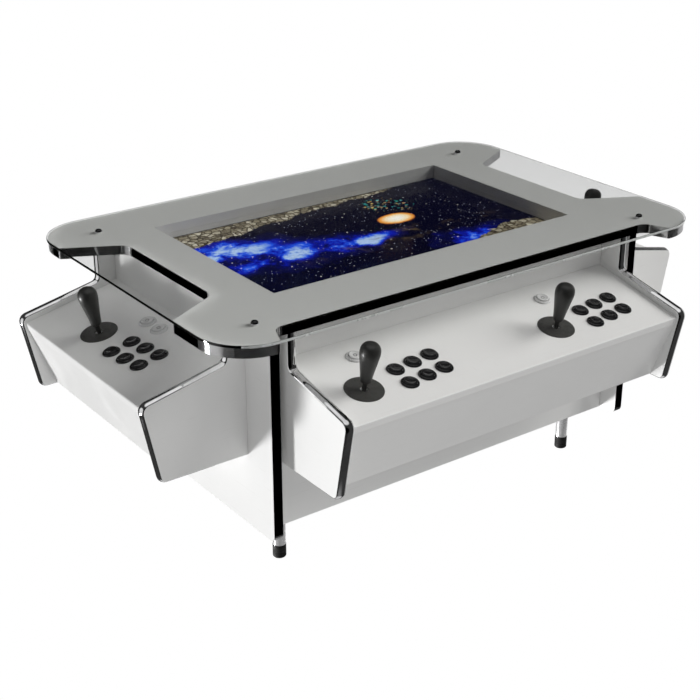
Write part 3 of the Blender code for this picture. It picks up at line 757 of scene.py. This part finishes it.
def makeMouldings():
    low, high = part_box("table_top_trim")
    windowLow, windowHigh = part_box("window_lining")
    margin, below = moulding["windowMargin"], moulding["belowTop"]

    def clearOfWindow(*ends):
        return all(end.x < windowLow.x - margin or end.x > windowHigh.x + margin
                   or end.y < windowLow.y - margin or end.y > windowHigh.y + margin for end in ends)

    top = edgeMoulding("top_moulding", "table_top", 2, low.z, high.z - low.z, clearOfWindow)
    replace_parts(top, "table_top_trim")
    for side in ("left", "right"):
        low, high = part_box(side + "_end_panel")
        outer, inner = (low.x, high.x) if side == "left" else (high.x, low.x)
        topZ = high.z
        edgeMoulding(side + "_end_moulding", side + "_end_panel", 0, outer, inner - outer,
                     lambda first, second: min(first.z, second.z) < topZ - below)
    # each control box has its back on one side of one axis, and its plates stand across the other
    for side, backAxis, backHigh in (("front", 1, True), ("left", 0, True), ("right", 0, False)):
        low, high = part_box(side + "_control_box")
        deckLow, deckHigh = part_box(side + "_deck")
        axis = 1 - backAxis
        wall = high[backAxis] if backHigh else low[backAxis]
        topZ = high.z
        for end, outer, inner in (("low", low[axis], deckLow[axis]), ("high", high[axis], deckHigh[axis])):
            width = inner - outer
            width = math.copysign(round(abs(width), 4) - moulding["offDeck"], width)
            edgeMoulding(f"{side}_box_{end}_moulding", side + "_control_box", axis, outer, width,
                         lambda first, second: min(first.z, second.z) < topZ - below
                         and max(abs(first[backAxis] - wall), abs(second[backAxis] - wall)) > below)
    print("edge mouldings")


# glass sheet and its bolts

glassSheet = {"polish": 0.8 * mm, "sharpest": 50, "smoothAngle": 20, "edgeFacing": 0.8}
glassBolt = {
    "across": 450.5, "along": (-229.3, 322.7), "sides": 32,
    "collar": [(4.0, 0.05), (7.3, 0.05), (7.5, 0.35), (7.3, 0.8), (6.7, 1.0), (4.0, 1.05)],
    "dome": [(6.5, 0.6), (6.6, 1.6), (6.4, 2.8), (5.8, 4.0), (4.9, 4.9), (3.7, 5.6), (2.4, 5.95), (2.1, 5.8),
             (2.0, 4.4)],
}


def makeGlass():
    sheet = copyOfNode("glass_top", "glass_sheet")
    pick(sheet)
    softenEdges(sheet, glassSheet["polish"], glassSheet["sharpest"])
    tidyMesh(sheet, glassSheet["smoothAngle"])
    finishPiece(sheet, sheetGlass, "cabinet")
    sheet.data.materials.append(sheetEdge)
    for face in sheet.data.polygons:
        face.material_index = int(abs(face.normal.y) > glassSheet["edgeFacing"])
    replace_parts(sheet, "glass_top")
    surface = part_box("glass_top")[1].z
    collar = turnPiece("bolt_collar", glassBolt["collar"], sides=glassBolt["sides"], hollow=True)
    dome = turnPiece("bolt_dome", glassBolt["dome"], sides=glassBolt["sides"])
    for number, (way, y) in enumerate([(way, y) for way in (-1, 1) for y in glassBolt["along"]], 1):
        place = Matrix.Translation((way * glassBolt["across"] * mm, y * mm, surface))
        ring = setCopy(collar, f"glass_bolt_collar_{number}", place)
        finishPiece(ring, tubeChrome, "cabinet")
        head = setCopy(dome, f"glass_bolt_{number}", place)
        finishPiece(head, glossBlack, "cabinet")
    for master in (collar, dome):
        bpy.data.objects.remove(master)
    print("glass sheet and bolts")


# feet: a flanged tube in a ribbed rubber tip

foot = {
    "tube": [(11.0, 25.0), (12.0, 25.5), (12.0, 96.6), (12.6, 97.4), (20.6, 97.6), (21.8, 98.2), (22.0, 99.4),
             (22.0, 100.9)],
    "tip": [(9.6, 0.0), (11.4, 0.4), (12.4, 1.6), (12.7, 3.2), (12.7, 6.0), (12.35, 6.5), (12.35, 7.3),
            (12.7, 7.8), (12.7, 10.4), (12.35, 10.9), (12.35, 11.7), (12.7, 12.2), (12.7, 25.4),
            (12.5, 26.4), (12.1, 26.9)],
}


def makeFeet():
    tube = turnPiece("foot_tube", foot["tube"])
    tip = turnPiece("foot_tip", foot["tip"])
    for row in ("front", "back"):
        for end in ("left", "right"):
            low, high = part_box(f"foot_{row}_{end}")
            place = Matrix.Translation(((low.x + high.x) / 2, (low.y + high.y) / 2, low.z))
            leg = setCopy(tube, f"foot_{row}_{end}_tube", place)
            finishPiece(leg, tubeChrome, "cabinet")
            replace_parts(leg, f"foot_{row}_{end}")
            sole = setCopy(tip, f"foot_{row}_{end}_tip", place)
            finishPiece(sole, tipRubber, "cabinet")
    for master in (tube, tip):
        bpy.data.objects.remove(master)
    print("feet")


# controls, all modelled once with the deck's face at zero and copied to each player

controls = {
    "pivotDepth": 16.0, "fineSides": 72, "batSides": 64, "batSmooth": 60, "thinSides": 32,
    "rim": [(12.5, 0.05), (12.5, 2.6), (12.8, 3.3), (13.4, 3.6), (14.2, 3.45), (15.3, 2.75), (16.2, 1.9),
            (16.6, 1.1), (16.7, 0.05)],
    "plunger": [(12.0, -11.0), (12.0, 4.0), (11.9, 4.7), (11.6, 5.3), (11.1, 5.75), (10.4, 6.0), (9.7, 5.98),
                (8.6, 5.6), (6.8, 5.05), (4.6, 4.65), (2.2, 4.45)],
    "mark": [(2.7, 4.3), (3.6, 4.3), (3.6, 4.82), (2.7, 4.82)],
    # the waist from 10 to 18 lets the stick lean both ways without touching the washer
    "stick": [(3.6, -24.0), (4.0, -23.4), (4.0, -4.8), (5.0, -3.3), (5.8, -1.6), (6.0, 0.0), (5.8, 1.6),
              (5.0, 3.3), (4.0, 4.8), (4.0, 10.0), (3.6, 10.5), (3.6, 18.3), (4.0, 18.5), (4.4, 18.8),
              (4.4, 29.6), (5.6, 30.0), (5.8, 31.6), (5.6, 33.2), (4.6, 33.6)],
    "bat": [(6.0, 33.3), (8.8, 33.6), (9.8, 34.6), (10.1, 36.4), (10.4, 40.0), (11.3, 47.0), (12.6, 56.0),
            (14.1, 65.0), (15.6, 74.0), (16.9, 82.0), (17.75, 88.5), (18.0, 92.5), (17.85, 96.0),
            (17.1, 99.6), (15.6, 103.0), (13.3, 105.9), (10.2, 107.9), (6.6, 109.0), (3.0, 109.4)],
    "washer": [(7.3, 0.05), (7.3, 1.0), (7.7, 1.35), (33.6, 1.35), (34.6, 1.1), (35.0, 0.6), (35.0, 0.05)],
}


def deckFrame(player):
    # the joystick's pivot, the way out of the deck, and the deck's own axes as a matrix
    joints = {joint["name"]: joint for joint in frame["joints"]}
    pivot = Vector(joints[player + "_joystick_forward_back"]["pos_m"])
    right = Vector(joints[player + "_joystick_forward_back"]["axis"]).normalized()
    upSlope = Vector(joints[player + "_joystick_left_right"]["axis"]).normalized()
    out = right.cross(upSlope).normalized()
    turn = Matrix((right, upSlope, out)).transposed().to_4x4()
    return pivot, out, turn


def makeControls():
    thin = controls["thinSides"]
    masters = {
        "rim": turnPiece("rim", controls["rim"], hollow=True),
        "plunger": turnPiece("plunger", controls["plunger"]),
        "mark": turnPiece("mark", controls["mark"], sides=thin, hollow=True),
        "stick": turnPiece("stick", controls["stick"], sides=thin),
        "bat": turnPiece("bat", controls["bat"], sides=controls["batSides"],
                         smoothAngle=controls["batSmooth"]),
        "washer": turnPiece("washer", controls["washer"], sides=controls["fineSides"], hollow=True),
    }

    def place(master, name, matrix, finish, body, slot="satin_black_plastic"):
        return finishPiece(setCopy(masters[master], name, matrix), finish, body)

    for player in ("p1", "p2", "p3", "p4"):
        pivot, out, turn = deckFrame(player)
        onPivot = Matrix.Translation(pivot) @ turn
        onDeck = Matrix.Translation(pivot + out * controls["pivotDepth"] * mm) @ turn
        body = player + "_joystick"
        shaft = place("stick", player + "_stick_shaft", onPivot, satinBlack, body)
        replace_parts(shaft, body)
        place("bat", player + "_bat_handle", onPivot, satinBlack, body)
        place("washer", player + "_dust_washer", onDeck, washerBlack, "cabinet")
        for node in sorted(name for name in cadNodes if name.startswith(player) and "_button" in name):
            low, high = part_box(node)
            centre = (low + high) / 2
            rise = controls["pivotDepth"] * mm - (centre - pivot).dot(out)
            atDeck = Matrix.Translation(centre + out * rise) @ turn
            action = node[-1].isdigit()
            finish, slot = (glossBlack, "gloss_black_plastic") if action else (clearPlastic, "clear_plastic")
            place("rim", node + "_rim", atDeck, finish, "cabinet", slot)
            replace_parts(place("plunger", node + "_plunger", atDeck, finish, node, slot), node)
            if not action:
                place("mark", node + "_mark", atDeck, darkInk, node)
    for master in masters.values():
        bpy.data.objects.remove(master)
    print("controls for four players")


# back: power inlet and panel screws

inlet = {"flange": (46.0, 2.6, 27.0), "middle": (307.0, 160.0), "bodyInset": 6.0, "bodySqueeze": 0.80,
         "depth": 16.0, "mouthInset": 6.5, "mouthSqueeze": 0.72, "mouthDepth": 13.0, "softened": 0.5,
         "sharpest": 30, "smoothAngle": 35, "facing": 0.9}
panelScrew = {"rings": [(1.6, 0.05), (4.2, 0.05), (4.3, 0.5), (4.0, 1.3), (3.2, 1.9), (2.1, 2.25), (1.5, 2.3),
                        (1.4, 1.2)],
              "sides": 24, "across": (-395.0, 0.0, 395.0), "heights": (125.0, 300.0, 475.0)}


def makeInlet(backFace):
    size = [side * mm for side in inlet["flange"]]
    x, z = [value * mm for value in inlet["middle"]]
    bpy.ops.object.select_all(action="DESELECT")
    centre = (x, backFace + size[1] / 2 + standOff, z)
    bpy.ops.mesh.primitive_cube_add(size=1, location=centre, scale=size)
    piece = bpy.context.object
    piece.name = piece.data.name = "power_inlet"
    bpy.ops.object.transform_apply(location=True, rotation=False, scale=True)
    # first the body goes into the panel, then the mouth is sunk into the flange
    for way, inset, squeeze, depth in ((-1, "bodyInset", "bodySqueeze", "depth"),
                                       (1, "mouthInset", "mouthSqueeze", "mouthDepth")):
        choose(piece, "FACE", lambda face: face.normal.y * way > inlet["facing"]
               and face.center.y * way > backFace * way - 1 * mm)
        bpy.ops.mesh.inset(thickness=inlet[inset] * mm)
        bpy.ops.transform.resize(value=(inlet[squeeze], 1.0, 1.0), center_override=(x, backFace, z))
        inward = (0, -inlet[depth] * mm, 0)
        bpy.ops.mesh.extrude_region_move(TRANSFORM_OT_translate={"value": inward})
        bpy.ops.object.mode_set(mode="OBJECT")
    softenEdges(piece, inlet["softened"] * mm, inlet["sharpest"])
    tidyMesh(piece, inlet["smoothAngle"])
    finishPiece(piece, satinBlack, "cabinet")


def makeBack():
    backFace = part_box("back_panel")[1].y
    makeInlet(backFace)
    screw = turnPiece("screw", panelScrew["rings"], sides=panelScrew["sides"])
    facingBack = Matrix.Rotation(math.radians(-90), 4, "X")
    spots = [(x, z) for x in panelScrew["across"] for z in panelScrew["heights"]]
    spots.remove((panelScrew["across"][1], panelScrew["heights"][1]))    # none in the middle of the panel
    for number, (x, z) in enumerate(spots, 1):
        place = Matrix.Translation((x * mm, backFace, z * mm)) @ facingBack
        finishPiece(setCopy(screw, f"back_screw_{number}", place), tubeChrome, "cabinet")
    bpy.data.objects.remove(screw)
    print("back panel fittings")


makeMouldings()
makeGlass()
makeFeet()
makeControls()
makeBack()


# finishes of the CAD nodes that stay

nodeFinishes = (
    (litPicture, ["monitor"]),
    (blackMetal, ["game_computer", "power_supply"]),
    (deckLaminate, ["front_deck", "left_deck", "right_deck"]),
    (bodyLaminate, ["table_top", "window_lining", "left_end_panel", "right_end_panel", "front_panel",
                    "back_panel", "bottom_panel", "front_control_box", "left_control_box",
                    "right_control_box"]),
    (satinBlack, [f"p{player}_joystick_gimbal" for player in (1, 2, 3, 4)]),
)
for finish, nodeNames in nodeFinishes:
    for nodeName in nodeNames:
        for materialSlot in cadNodes[nodeName].material_slots:
            materialSlot.material = finish
print("CAD nodes finished")
